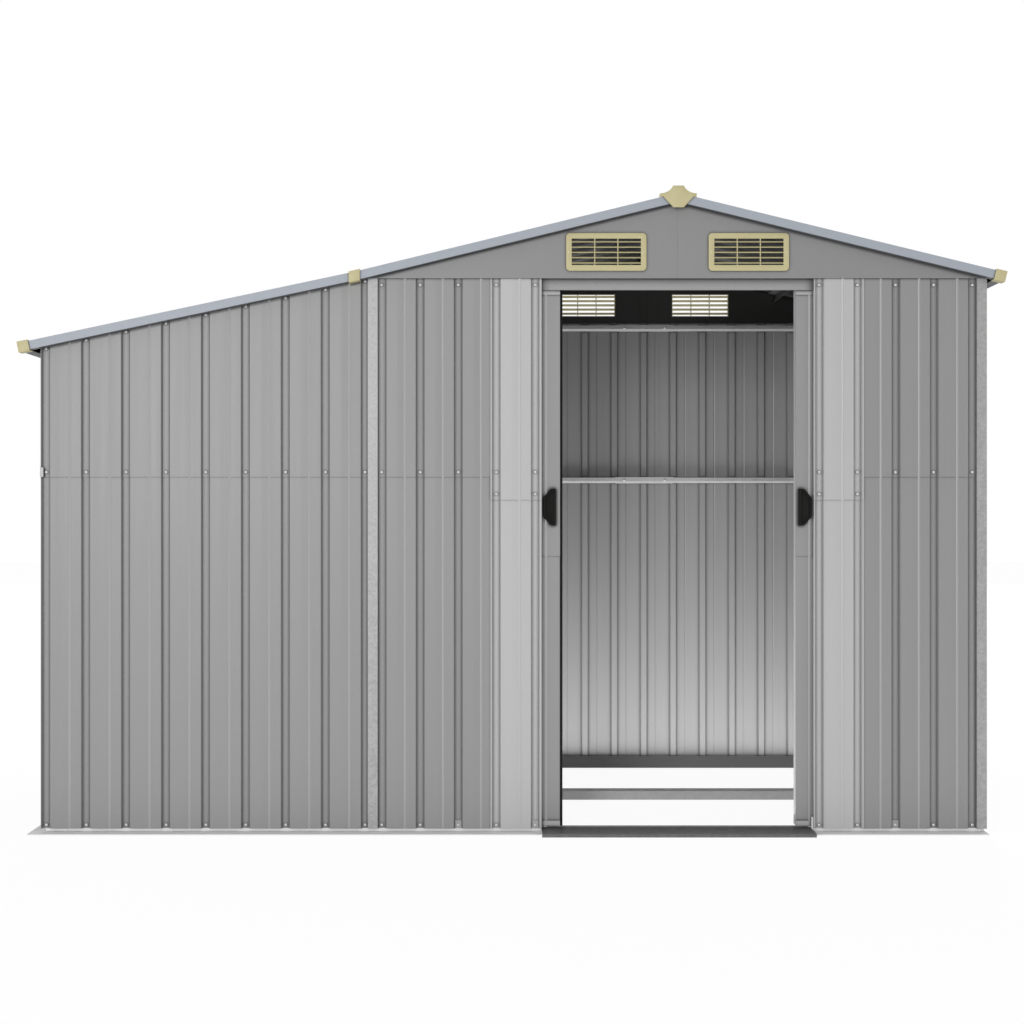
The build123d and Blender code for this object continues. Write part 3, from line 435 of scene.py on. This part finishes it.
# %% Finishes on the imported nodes
finishes = {
    wall_paint: [
        "front_lean_lower", "front_lean_upper", "front_left_lower", "front_left_upper",
        "front_right_lower", "front_right_upper", "rear_main_lower", "rear_main_upper",
        "rear_lean_lower", "rear_lean_upper",
    ],
    side_paint: ["left_side_wall", "right_side_wall"],
    pale_paint: ["door_side_lower", "door_side_upper", "door_jambs"],
    gable_paint: ["front_gable", "rear_gable"],
    roof_paint: ["roof_main_left", "roof_main_right", "roof_lean"],
    trim_paint: ["verge_trims", "eave_trims", "roof_cover_strips"],
    door_paint: ["left_door_sheets", "right_door_sheets"],
    door_trim_paint: ["left_door_frame", "right_door_frame"],
    header_paint: ["door_header"],
    post_zinc: ["corner_posts", "junction_posts", "wall_clips"],
    base_zinc: [
        "base_rail_front_left", "base_rail_front_right", "base_rail_left", "base_rail_rear",
        "base_rail_right",
    ],
    sill_zinc: ["door_sill"],
    dim_zinc: ["roof_beams"],
    rail_zinc: [
        "floor_track", "floor_cross_rail", "rear_girts", "side_girts", "girt_connectors",
    ],
    tan_plastic: ["front_roof_caps", "rear_roof_caps", "gable_vents"],
    black_plastic: ["left_door_handle", "right_door_handle"],
    seal_rubber: ["left_door_seal"],
    nylon: ["left_door_glides", "right_door_glides"],
}
dressed = set()
for finish, names in finishes.items():
    for name in names:
        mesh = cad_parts[name].data
        mesh.materials.clear()
        mesh.materials.append(finish)
        dressed.add(name)
print("dressed", len(dressed), "nodes; left plain:", sorted(set(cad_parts) - dressed))

# %% [markdown]
# ## Softened edges on what is moulded
# A moulded part never has a knife edge: its tool has a small radius, and that radius is what
# catches the light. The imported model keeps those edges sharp, because collision doesn't care. So a
# copy of each moulded node is welded, its flat areas are merged into single faces, and a Bevel
# modifier rounds what is left. The copy then stands in for the node and rides where it rode.

# %% Rounded stand-ins for the moulded nodes


def softened(node, radius, body):
    """A welded copy of a node with rounded edges, standing in for it."""
    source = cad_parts[node]
    shape = bmesh.new()
    shape.from_mesh(source.data)
    bmesh.ops.remove_doubles(shape, verts=shape.verts, dist=1e-5)
    bmesh.ops.dissolve_limit(
        shape, angle_limit=math.radians(1), verts=shape.verts, edges=shape.edges
    )
    mesh = bpy.data.meshes.new(node + "_soft")
    shape.to_mesh(mesh)
    shape.free()
    piece = bpy.data.objects.new(node + "_soft", mesh)
    bpy.context.scene.collection.objects.link(piece)
    edges = piece.modifiers.new("edges", "BEVEL")
    edges.width = radius
    edges.segments = 2
    edges.limit_method = "ANGLE"
    edges.angle_limit = math.radians(25)
    edges.use_clamp_overlap = True
    graph = bpy.context.evaluated_depsgraph_get()
    rounded = bpy.data.meshes.new_from_object(piece.evaluated_get(graph))
    piece.modifiers.clear()
    piece.data = rounded
    rounded.materials.clear()
    rounded.materials.append(source.data.materials[0])
    rounded.shade_smooth()
    rounded.set_sharp_from_angle(angle=math.radians(40))
    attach(piece, body)
    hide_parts(node)
    return piece


soft_nodes = (
    ("front_roof_caps", 0.0009, "shed", "tan_moulding"),
    ("rear_roof_caps", 0.0009, "shed", "tan_moulding"),
    ("gable_vents", 0.0005, "shed", "tan_moulding"),
    ("left_door_handle", 0.0010, "left_door", "black_handle"),
    ("right_door_handle", 0.0010, "right_door", "black_handle"),
)
for node, radius, body, slot in soft_nodes:
    piece = softened(node, radius, body)
    print(piece.name, len(piece.data.polygons), "faces")

# %% [markdown]
# ## Where the screws go
# Each sheet is held through the floors of its recessed ribs, in rows: at the foot, where two
# sheets lap, and under the roof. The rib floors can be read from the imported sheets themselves:
# they are the vertices that lie deepest behind the wall's face. Finding them there means that the
# screws can't drift off the ribs.

# %% Find the ribs of a sheet


def rib_places(node, along, inward, floor_width=0.025):
    """Middles of a sheet's recessed ribs, measured along a direction."""
    points = [vertex.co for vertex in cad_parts[node].data.vertices]
    deepest = max(point.dot(inward) for point in points)
    reach = sorted({round(p.dot(along), 4) for p in points if deepest - p.dot(inward) < 2e-4})
    groups = [[reach[0]]]
    for value in reach[1:]:
        if value - groups[-1][0] < floor_width:
            groups[-1].append(value)
        else:
            groups.append([value])
    return [(group[0] + group[-1]) / 2 for group in groups]


right, back, up = Vector((1, 0, 0)), Vector((0, 1, 0)), Vector((0, 0, 1))
lean_ribs = rib_places("front_lean_lower", right, back)
print("lean-to ribs:", len(lean_ribs), "from", round(lean_ribs[0], 3), "to", round(lean_ribs[-1], 3))

# %% [markdown]
# ## The screw itself, and a tree that sets it everywhere
# Kits like this use pan-head screws through a soft grey washer. There are hundreds, so one is
# described once in a Geometry Nodes tree, and the tree sets it on every vertex of a mesh of
# places. Each place carries a `facing` direction, and the tree turns the screw to it, with a
# random spin from a fixed seed so that the cross slots don't all line up. The instances are
# realized, because a plain mesh is what gets kept.

# %% The screw tree


def socket(tree, name, kind, value=None, side="INPUT"):
    """A named socket on a tree."""
    made = tree.interface.new_socket(name, in_out=side, socket_type=kind)
    if value is not None:
        made.default_value = value


def screw_tree():
    """Tree that sets a washer and a cross-slot pan head on each vertex, turned to its facing."""
    tree = bpy.data.node_groups.new("screws_on_places", "GeometryNodeTree")
    socket(tree, "Places", "NodeSocketGeometry")
    socket(tree, "Washer Radius", "NodeSocketFloat", 0.0056)
    socket(tree, "Washer Height", "NodeSocketFloat", 0.0012)
    socket(tree, "Head Radius", "NodeSocketFloat", 0.0039)
    socket(tree, "Head Height", "NodeSocketFloat", 0.0024)
    socket(tree, "Seed", "NodeSocketInt", 7)
    socket(tree, "Washer Material", "NodeSocketMaterial")
    socket(tree, "Head Material", "NodeSocketMaterial")
    socket(tree, "Slot Material", "NodeSocketMaterial")
    socket(tree, "Screws", "NodeSocketGeometry", side="OUTPUT")

    def node(kind, settings=None, inputs=None):
        made = tree.nodes.new(kind)
        for key, value in (settings or {}).items():
            setattr(made, key, value)
        for key, value in (inputs or {}).items():
            if isinstance(value, bpy.types.NodeSocket):
                tree.links.new(value, made.inputs[key])
            else:
                made.inputs[key].default_value = value
        return made

    given = node("NodeGroupInput").outputs
    half_washer = node("ShaderNodeMath", {"operation": "MULTIPLY"}, {0: given["Washer Height"], 1: 0.5})
    lift_washer = node("ShaderNodeCombineXYZ", None, {"Z": half_washer.outputs[0]})
    rim = node("ShaderNodeMath", {"operation": "MULTIPLY"}, {0: given["Washer Radius"], 1: 0.84})
    washer = node(
        "GeometryNodeMeshCone",
        None,
        {
            "Vertices": 16,
            "Radius Top": rim.outputs[0],
            "Radius Bottom": given["Washer Radius"],
            "Depth": given["Washer Height"],
        },
    )
    washer = node("GeometryNodeSetMaterial", None, {0: washer.outputs[0], "Material": given["Washer Material"]})

    flat = node("ShaderNodeMath", {"operation": "DIVIDE"}, {0: given["Head Height"], 1: given["Head Radius"]})
    squeeze = node("ShaderNodeCombineXYZ", None, {"X": 1.0, "Y": 1.0, "Z": flat.outputs[0]})
    dome = node("GeometryNodeMeshUVSphere", None, {"Segments": 12, "Rings": 6, "Radius": given["Head Radius"]})
    dome = node(
        "GeometryNodeTransform",
        None,
        {"Geometry": dome.outputs[0], "Translation": lift_washer.outputs[0], "Scale": squeeze.outputs[0]},
    )
    dome = node("GeometryNodeSetMaterial", None, {0: dome.outputs[0], "Material": given["Head Material"]})

    bar_length = node("ShaderNodeMath", {"operation": "MULTIPLY"}, {0: given["Head Radius"], 1: 0.95})
    bar_width = node("ShaderNodeMath", {"operation": "MULTIPLY"}, {0: given["Head Radius"], 1: 0.2})
    bars = []
    for first, second in ((bar_length, bar_width), (bar_width, bar_length)):
        size = node(
            "ShaderNodeCombineXYZ",
            None,
            {"X": first.outputs[0], "Y": second.outputs[0], "Z": bar_width.outputs[0]},
        )
        bars.append(node("GeometryNodeMeshCube", None, {"Size": size.outputs[0]}))
    top = node("ShaderNodeMath", {"operation": "ADD"}, {0: given["Head Height"], 1: half_washer.outputs[0]})
    sunk = node("ShaderNodeMath", {"operation": "SUBTRACT"}, {0: top.outputs[0], 1: 0.0002})
    at_top = node("ShaderNodeCombineXYZ", None, {"Z": sunk.outputs[0]})
    cross = node("GeometryNodeJoinGeometry")
    for bar in bars:
        tree.links.new(bar.outputs[0], cross.inputs[0])
    cross = node("GeometryNodeTransform", None, {"Geometry": cross.outputs[0], "Translation": at_top.outputs[0]})
    cross = node("GeometryNodeSetMaterial", None, {0: cross.outputs[0], "Material": given["Slot Material"]})

    screw = node("GeometryNodeJoinGeometry")
    for part in (washer, dome, cross):
        tree.links.new(part.outputs[0], screw.inputs[0])

    facing = node("GeometryNodeInputNamedAttribute", {"data_type": "FLOAT_VECTOR"}, {"Name": "facing"})
    turn = node("FunctionNodeAlignRotationToVector", {"axis": "Z"}, {"Vector": facing.outputs[0]})
    spin = node(
        "FunctionNodeRandomValue",
        {"data_type": "FLOAT"},
        {2: 0.0, 3: math.pi, "Seed": given["Seed"]},
    )
    own_spin = node("ShaderNodeCombineXYZ", None, {"Z": spin.outputs[1]})
    own_turn = node("FunctionNodeEulerToRotation", None, {0: own_spin.outputs[0]})
    turned = node(
        "FunctionNodeRotateRotation",
        {"rotation_space": "LOCAL"},
        {0: turn.outputs[0], 1: own_turn.outputs[0]},
    )
    placed = node(
        "GeometryNodeInstanceOnPoints",
        None,
        {"Points": given["Places"], "Instance": screw.outputs[0], "Rotation": turned.outputs[0]},
    )
    whole = node("GeometryNodeRealizeInstances", None, {0: placed.outputs[0]})
    shaded = node("GeometryNodeSetShadeSmooth", None, {"Geometry": whole.outputs[0]})
    result = node("NodeGroupOutput")
    tree.links.new(shaded.outputs[0], result.inputs[0])
    return tree


screws_on_places = screw_tree()
print("screw tree has", len(screws_on_places.nodes), "nodes")

# %% [markdown]
# ## From places to one mesh
# A modifier's inputs are set by each socket's identifier, because its name isn't the key, and they
# are set before the object is first evaluated. The result is read back as a plain mesh, the
# modifier goes, and the piece rides on its body like any other.

# %% Set the screws


def set_screws(name, places, body, sizes=None):
    """One mesh with a screw at each (point, facing) pair."""
    mesh = bpy.data.meshes.new(name)
    mesh.from_pydata([point for point, _ in places], [], [])
    facing = mesh.attributes.new("facing", "FLOAT_VECTOR", "POINT")
    facing.data.foreach_set("vector", [v for _, direction in places for v in direction])
    piece = bpy.data.objects.new(name, mesh)
    bpy.context.scene.collection.objects.link(piece)
    tree = screws_on_places
    keys = {item.name: item.identifier for item in tree.interface.items_tree if item.in_out == "INPUT"}
    modifier = piece.modifiers.new("screws", "NODES")
    modifier.node_group = tree
    modifier[keys["Washer Material"]] = washer_grey
    modifier[keys["Head Material"]] = head_zinc
    modifier[keys["Slot Material"]] = slot_dark
    for key, value in (sizes or {}).items():
        modifier[keys[key]] = value
    graph = bpy.context.evaluated_depsgraph_get()
    made = bpy.data.meshes.new_from_object(piece.evaluated_get(graph))
    piece.modifiers.clear()
    piece.data = made
    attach(piece, body)
    print(name, len(places), "screws,", len(made.polygons), "faces")
    return piece


# %% Screw rows of the walls
rib_depth = 0.008
foot_row = 0.010
lap_row = 0.015
top_row = 0.028
front, left = -back, -right


def wall_rows(node, along, inward, heights):
    """Places on every rib of a flat wall sheet, at the given heights."""
    low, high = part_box(node)
    outer = min(low.dot(inward), high.dot(inward)) + rib_depth
    found = []
    for middle in rib_places(node, along, inward):
        for height in heights:
            found.append((along * middle + inward * outer + up * height, -inward))
    return found


wall_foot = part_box("front_lean_lower")[0].z
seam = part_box("front_left_upper")[0].z
pale_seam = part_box("door_side_upper")[0].z
wall_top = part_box("front_left_upper")[1].z
foot, lap, head = wall_foot + foot_row, seam + lap_row, wall_top - top_row

wall_screws = []
for side in ("front_left", "front_right"):
    wall_screws += wall_rows(side + "_lower", right, back, [foot])
    wall_screws += wall_rows(side + "_upper", right, back, [lap, head])
wall_screws += wall_rows("door_side_lower", right, back, [foot])
wall_screws += wall_rows("door_side_upper", right, back, [pale_seam + 0.018, lap, head])
wall_screws += wall_rows("rear_main_lower", right, front, [foot])
wall_screws += wall_rows("rear_main_upper", right, front, [lap, head])
for wall, inward in (("left_side_wall", right), ("right_side_wall", left)):
    wall_screws += wall_rows(wall, back, inward, [foot, lap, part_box(wall)[1].z - top_row])
print(len(wall_screws), "screws so far")

# %% Screw rows that follow the lean-to roof
verge_low, verge_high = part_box("verge_trims")
roof_low, roof_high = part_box("roof_lean")
lean_fall = (roof_high.z - roof_low.z - 0.009) / (roof_high.x - roof_low.x)
under_trim = 0.018


def under_lean_trim(x):
    """Height of a screw just below the verge trim over the lean-to."""
    low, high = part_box("front_lean_upper")
    return high.z - (high.x - x) * lean_fall - under_trim


for wall, inward in (("front_lean", back), ("rear_lean", front)):
    wall_screws += wall_rows(wall + "_lower", right, inward, [foot])
    wall_screws += wall_rows(wall + "_upper", right, inward, [lap])
    low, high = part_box(wall + "_upper")
    outer = min(low.dot(inward), high.dot(inward)) + rib_depth
    for middle in rib_places(wall + "_upper", right, inward):
        point = right * middle + inward * outer + up * under_lean_trim(middle)
        wall_screws.append((point, -inward))
set_screws("wall_screws", wall_screws, "shed")

# %% [markdown]
# ## Screws found by touch
# A roof slopes, a vent is moulded and a plate is folded, so the places of their screws aren't
# simple sums. Here each place is found as a fitter's hand would find it: a ray goes in from
# outside until it touches the node, and the screw sits there, square to the surface. On the roof
# the rows lie where the sheets cross a beam, and each vent is held by one screw at either end.

# %% Screws on the roof, the vents and the girt plates


def touched(node, origin, inward):
    """Place and outward direction where a ray from outside meets a node."""
    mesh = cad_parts[node].data
    corners = [vertex.co for vertex in mesh.vertices]
    skin = BVHTree.FromPolygons(corners, [tuple(face.vertices) for face in mesh.polygons])
    point, normal, _, _ = skin.ray_cast(origin, inward)
    return [(point, normal)] if point else []


roof_rows = {
    "roof_lean": (-1.445, -0.985, -0.535),
    "roof_main_left": (-0.420, 0.011, 0.455),
    "roof_main_right": (0.553, 0.998, 1.445),
}
roof_screws = []
for sheet, rows in roof_rows.items():
    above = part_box(sheet)[1].z + 0.2
    faces = [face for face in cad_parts[sheet].data.polygons if face.normal.z > 0]
    slope = max(faces, key=lambda face: face.area).normal
    for rib in rib_places(sheet, back, -slope):
        for x in rows:
            roof_screws += touched(sheet, Vector((x, rib, above)), -up)
set_screws("roof_screws", roof_screws, "shed")

vent_low, vent_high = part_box("gable_vents")
vent_length, end_inset = 0.245, 0.0085
ends = [vent_low.x + end_inset, vent_low.x + vent_length - end_inset]
ends += [vent_high.x - vent_length + end_inset, vent_high.x - end_inset]
vent_screws = []
for x in ends:
    for inward in (back, front):
        start = Vector((x, 0, (vent_low.z + vent_high.z) / 2)) - inward
        vent_screws += touched("gable_vents", start, inward)
cream = {"Washer Material": tan_plastic, "Head Material": head_cream, "Slot Material": tan_plastic}
cream.update({"Washer Radius": 0.0034, "Washer Height": 0.0004, "Head Radius": 0.0031, "Head Height": 0.0016})
set_screws("vent_screws", vent_screws, "shed", cream)

plate_low, plate_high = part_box("girt_connectors")
plate_middle, plate_reach = (plate_low.x + plate_high.x) / 2, 0.077
plate_height = 0.0238
plate_screws = []
for foot_of_plate in (plate_low.z, plate_high.z - plate_height):
    for x in (plate_middle - plate_reach, plate_middle + plate_reach):
        start = Vector((x, 0.2, foot_of_plate + plate_height / 2))
        plate_screws += touched("girt_connectors", start, back)
set_screws("plate_screws", plate_screws, "shed")

# %% [markdown]
# ## A quiet white studio
# The floor and the background are white, so the shed reads by its own edges. White comes from the
# floor's and the world's answer to camera rays, not from more light: for all other rays the floor
# is plain pale paint and the world is a soft grey sky. A small share of the floor stays real paint
# for the camera too, so that the shed keeps a faint shadow to stand on.

# %% Floor and world
floor_size = 40.0
white_share = 0.86
glow_strength = 1.07
sky_strength = 0.53

floor_mesh = bpy.data.meshes.new("studio_floor")
half = floor_size / 2
floor_mesh.from_pydata(
    [(-half, -half, -0.001), (half, -half, -0.001), (half, half, -0.001), (-half, half, -0.001)],
    [],
    [(0, 1, 2, 3)],
)
floor = bpy.data.objects.new("studio_floor", floor_mesh)
bpy.context.scene.collection.objects.link(floor)
floor_paint = Paint("studio_white")
ray = floor_paint.tree.nodes.new("ShaderNodeLightPath")
seen_directly = Wire(floor_paint, ray.outputs["Is Camera Ray"])
mirrored = Wire(floor_paint, ray.outputs["Is Glossy Ray"])
matt = floor_paint.add("ShaderNodeBsdfDiffuse", None, {"Color": (0.88, 0.88, 0.88, 1)})
glow = floor_paint.add("ShaderNodeEmission", None, {"Strength": glow_strength})
mixed = floor_paint.add(
    "ShaderNodeMixShader", None, {0: (seen_directly + mirrored) * white_share, 1: matt, 2: glow}
)
floor_mesh.materials.append(floor_paint.finish(mixed))

world = bpy.data.worlds.new("studio_sky")
bpy.context.scene.world = world
world.use_nodes = True
sky = world.node_tree
sky.nodes.clear()
ray = sky.nodes.new("ShaderNodeLightPath")
soft = sky.nodes.new("ShaderNodeBackground")
soft.inputs["Color"].default_value = (1, 1, 1, 1)
soft.inputs["Strength"].default_value = sky_strength
white = sky.nodes.new("ShaderNodeBackground")
white.inputs["Color"].default_value = (1, 1, 1, 1)
choice = sky.nodes.new("ShaderNodeMixShader")
either = sky.nodes.new("ShaderNodeMath")
either.operation = "MAXIMUM"
sky.links.new(ray.outputs["Is Camera Ray"], either.inputs[0])
sky.links.new(ray.outputs["Is Glossy Ray"], either.inputs[1])
sky.links.new(either.outputs[0], choice.inputs[0])
sky.links.new(soft.outputs[0], choice.inputs[1])
sky.links.new(white.outputs[0], choice.inputs[2])
result = sky.nodes.new("ShaderNodeOutputWorld")
sky.links.new(choice.outputs[0], result.inputs["Surface"])
print("floor and world ready")

# %% [markdown]
# ## Lamps
# One large lamp stands far behind the camera, to the left and above, as a soft box would: far away,
# so that the wall is as bright at its top as at its foot, and it gives the thin shadows under the
# roof trims and the gable. A weaker one behind the shed keeps the back views readable. Two more
# lie on the floor and shine up, one before the shed and one inside it. They stand for the light
# that a white floor throws back: that is why the rear wall is bright at its foot, why it fades
# upwards, and why each girt has its shadow above it. The inner one starts just over the base
# rails, and the camera sees neither.

# %% Lamps


def soft_box(name, width, length, power, place_at, aim):
    """An area lamp that points at a place."""
    lamp = bpy.data.lights.new(name, "AREA")
    lamp.shape = "RECTANGLE"
    lamp.size = width
    lamp.size_y = length
    lamp.energy = power
    holder = bpy.data.objects.new(name, lamp)
    holder.location = place_at
    direction = Vector(aim) - Vector(place_at)
    holder.rotation_euler = direction.to_track_quat("-Z", "Y").to_euler()
    bpy.context.scene.collection.objects.link(holder)
    return holder


def floor_bounce(name, low, high, height, power):
    """A hidden lamp that lies flat between two corners and shines up."""
    middle = Vector(((low[0] + high[0]) / 2, (low[1] + high[1]) / 2, height))
    lamp = soft_box(name, high[0] - low[0], high[1] - low[1], power, middle, middle + Vector((0, 0, 1)))
    lamp.rotation_euler = (math.pi, 0, 0)
    lamp.visible_camera = False
    lamp.visible_glossy = False
    return lamp


soft_box("key_soft_box", 4.0, 4.0, 560, (-4.5, -13.0, 2.7), (0, -0.5, 1.0))
soft_box("back_soft_box", 4.0, 4.0, 480, (3.5, 12.0, 5.0), (0, 0.5, 1.0))
floor_bounce("bounce_before", (-2.2, -3.2), (2.2, -0.62), 0.002, 15)

inside_low, inside_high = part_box("floor_cross_rail")
wall_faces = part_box("front_lean_lower")[1].y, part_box("rear_main_lower")[0].y
clear_of_walls = 0.03
bounce_low = inside_low.x + clear_of_walls, wall_faces[0] + clear_of_walls
bounce_high = inside_high.x - clear_of_walls, wall_faces[1] - clear_of_walls
floor_bounce("bounce_inside", bounce_low, bounce_high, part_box("base_rail_rear")[1].z + 0.001, 29)
print("lamps:", sorted(lamp.name for lamp in bpy.data.lights))
